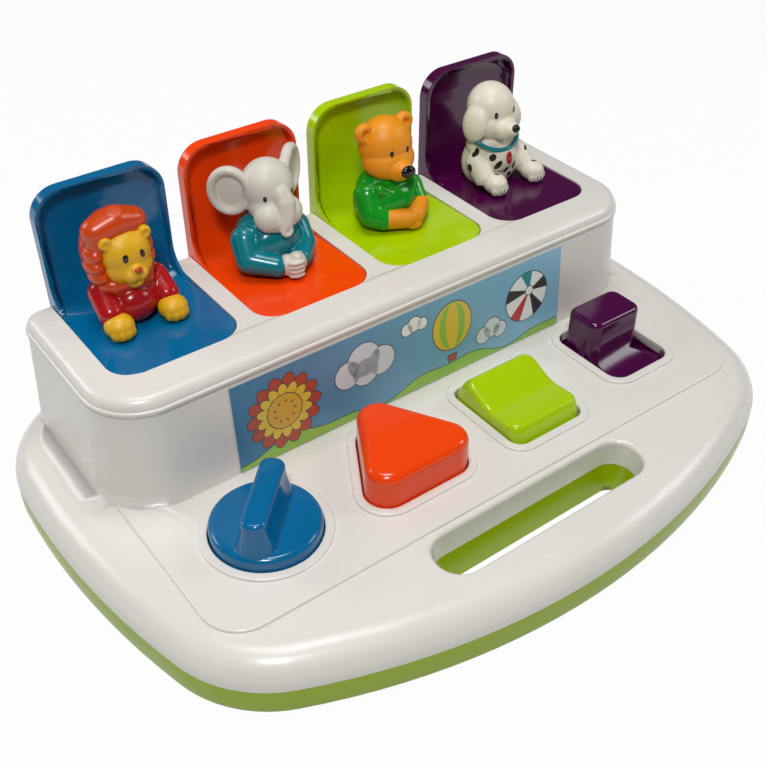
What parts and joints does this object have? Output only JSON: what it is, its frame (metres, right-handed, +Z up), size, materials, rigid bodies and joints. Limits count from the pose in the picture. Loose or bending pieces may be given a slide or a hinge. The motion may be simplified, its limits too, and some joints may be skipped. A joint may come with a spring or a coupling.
{
  "type": "pop up animal toy",
  "caption": "Child's pop-up toy: a dial, a push button, a rocker and a slider each let a sprung lid fly open with a small animal seated inside.",
  "frame": {"origin": "middle of the footprint, on the surface it stands on", "axes": "+X to the right as the child sees it, +Y to the rear, +Z up; the lids stand open at the rear"},
  "size_m": [0.3288, 0.224, 0.13],
  "materials": {
    "green_abs": "glossy moulded ABS, yellow-green",
    "white_abs": "glossy moulded ABS, warm white",
    "blue_abs": "glossy moulded ABS, blue",
    "orange_abs": "glossy moulded ABS, orange",
    "lime_abs": "glossy moulded ABS, lime",
    "purple_abs": "glossy moulded ABS, dark purple",
    "printed_card": "printed film, satin",
    "painted_vinyl": "soft vinyl with gloss paint",
    "natural_acetal": "natural acetal, as moulded",
    "zinc_steel": "bright zinc plated steel",
    "spring_steel": "drawn spring steel"
  },
  "bodies": {
    "base": {"bottom_shell": "green_abs", "deck_shell": "white_abs", "top_frame": "white_abs", "picture_label": "printed_card", "case_screws": "zinc_steel", "rocker_pin": "zinc_steel", "slider_keeper": "natural_acetal", "blue_hinge_pin": "zinc_steel", "orange_hinge_pin": "zinc_steel", "lime_hinge_pin": "zinc_steel", "purple_hinge_pin": "zinc_steel", "blue_latch_spring": "spring_steel", "orange_latch_spring": "spring_steel", "lime_latch_spring": "spring_steel", "purple_latch_spring": "spring_steel"},
    "blue_lid": {"blue_lid": "blue_abs", "lion_figure": "painted_vinyl", "lion_screws": "zinc_steel", "blue_lid_spring": "spring_steel"},
    "blue_latch": {"blue_latch": "natural_acetal"},
    "orange_lid": {"orange_lid": "orange_abs", "elephant_figure": "painted_vinyl", "elephant_screws": "zinc_steel", "orange_lid_spring": "spring_steel"},
    "orange_latch": {"orange_latch": "natural_acetal"},
    "lime_lid": {"lime_lid": "lime_abs", "bear_figure": "painted_vinyl", "bear_screws": "zinc_steel", "lime_lid_spring": "spring_steel"},
    "lime_latch": {"lime_latch": "natural_acetal"},
    "purple_lid": {"purple_lid": "purple_abs", "puppy_figure": "painted_vinyl", "puppy_screws": "zinc_steel", "purple_lid_spring": "spring_steel"},
    "purple_latch": {"purple_latch": "natural_acetal"},
    "knob": {"knob": "blue_abs"},
    "button": {"push_button": "orange_abs"},
    "rocker": {"rocker": "lime_abs"},
    "slider": {"slider": "purple_abs"}
  },
  "joints": [
    {"name": "blue_lid_hinge", "type": "hinge", "parent": "base", "child": "blue_lid", "pos_m": [-0.0975, 0.08785, 0.07135], "axis": [1, 0, 0], "range_deg": [0, 90], "stiffness_Nm_per_rad": 0.017, "springref_deg": -40.11, "deforming": ["blue_lid_spring"]},
    {"name": "orange_lid_hinge", "type": "hinge", "parent": "base", "child": "orange_lid", "pos_m": [-0.0325, 0.08785, 0.07135], "axis": [1, 0, 0], "range_deg": [0, 90], "stiffness_Nm_per_rad": 0.017, "springref_deg": -40.11, "deforming": ["orange_lid_spring"]},
    {"name": "lime_lid_hinge", "type": "hinge", "parent": "base", "child": "lime_lid", "pos_m": [0.0325, 0.08785, 0.07135], "axis": [1, 0, 0], "range_deg": [0, 90], "stiffness_Nm_per_rad": 0.017, "springref_deg": -40.11, "deforming": ["lime_lid_spring"]},
    {"name": "purple_lid_hinge", "type": "hinge", "parent": "base", "child": "purple_lid", "pos_m": [0.0975, 0.08785, 0.07135], "axis": [1, 0, 0], "range_deg": [0, 90], "stiffness_Nm_per_rad": 0.017, "springref_deg": -40.11, "deforming": ["purple_lid_spring"]},
    {"name": "knob_turn", "type": "hinge", "parent": "base", "child": "knob", "pos_m": [-0.0975, -0.025, 0.03], "axis": [0, 0, -1], "range_deg": [0, 45], "stiffness_Nm_per_rad": 0.03, "springref_deg": -17.19},
    {"name": "blue_latch_drop", "type": "slide", "parent": "base", "child": "blue_latch", "axis": [0, 0, -1], "range_m": [0, 0.003], "stiffness_N_per_m": 5, "springref_m": -0.006, "deforming": ["blue_latch_spring"]},
    {"name": "button_push", "type": "slide", "parent": "base", "child": "button", "axis": [0, 0, -1], "range_m": [0, 0.003], "stiffness_N_per_m": 400, "springref_m": -0.003},
    {"name": "orange_latch_drop", "type": "slide", "parent": "base", "child": "orange_latch", "axis": [0, 0, -1], "range_m": [0, 0.003], "stiffness_N_per_m": 5, "springref_m": -0.006, "deforming": ["orange_latch_spring"]},
    {"name": "rocker_tilt", "type": "hinge", "parent": "base", "child": "rocker", "pos_m": [0.0325, -0.0263, 0.021], "axis": [-1, 0, 0], "range_deg": [0, 18.8], "stiffness_Nm_per_rad": 0.05, "springref_deg": -14.32},
    {"name": "lime_latch_drop", "type": "slide", "parent": "base", "child": "lime_latch", "axis": [0, 0, -1], "range_m": [0, 0.003], "stiffness_N_per_m": 5, "springref_m": -0.006, "deforming": ["lime_latch_spring"]},
    {"name": "slider_move", "type": "slide", "parent": "base", "child": "slider", "axis": [0, -1, 0], "range_m": [0, 0.017], "stiffness_N_per_m": 60, "springref_m": -0.01},
    {"name": "purple_latch_drop", "type": "slide", "parent": "base", "child": "purple_latch", "axis": [0, 0, -1], "range_m": [0, 0.003], "stiffness_N_per_m": 5, "springref_m": -0.006, "deforming": ["purple_latch_spring"]}
  ],
  "couplings": [
    {"joint": "blue_latch_drop", "follows": "knob_turn", "m_per_rad": 0.0038197},
    {"joint": "orange_latch_drop", "follows": "button_push", "ratio": 1},
    {"joint": "lime_latch_drop", "follows": "rocker_tilt", "m_per_rad": 0.0091429},
    {"joint": "purple_latch_drop", "follows": "slider_move", "ratio": 0.17647}
  ]
}
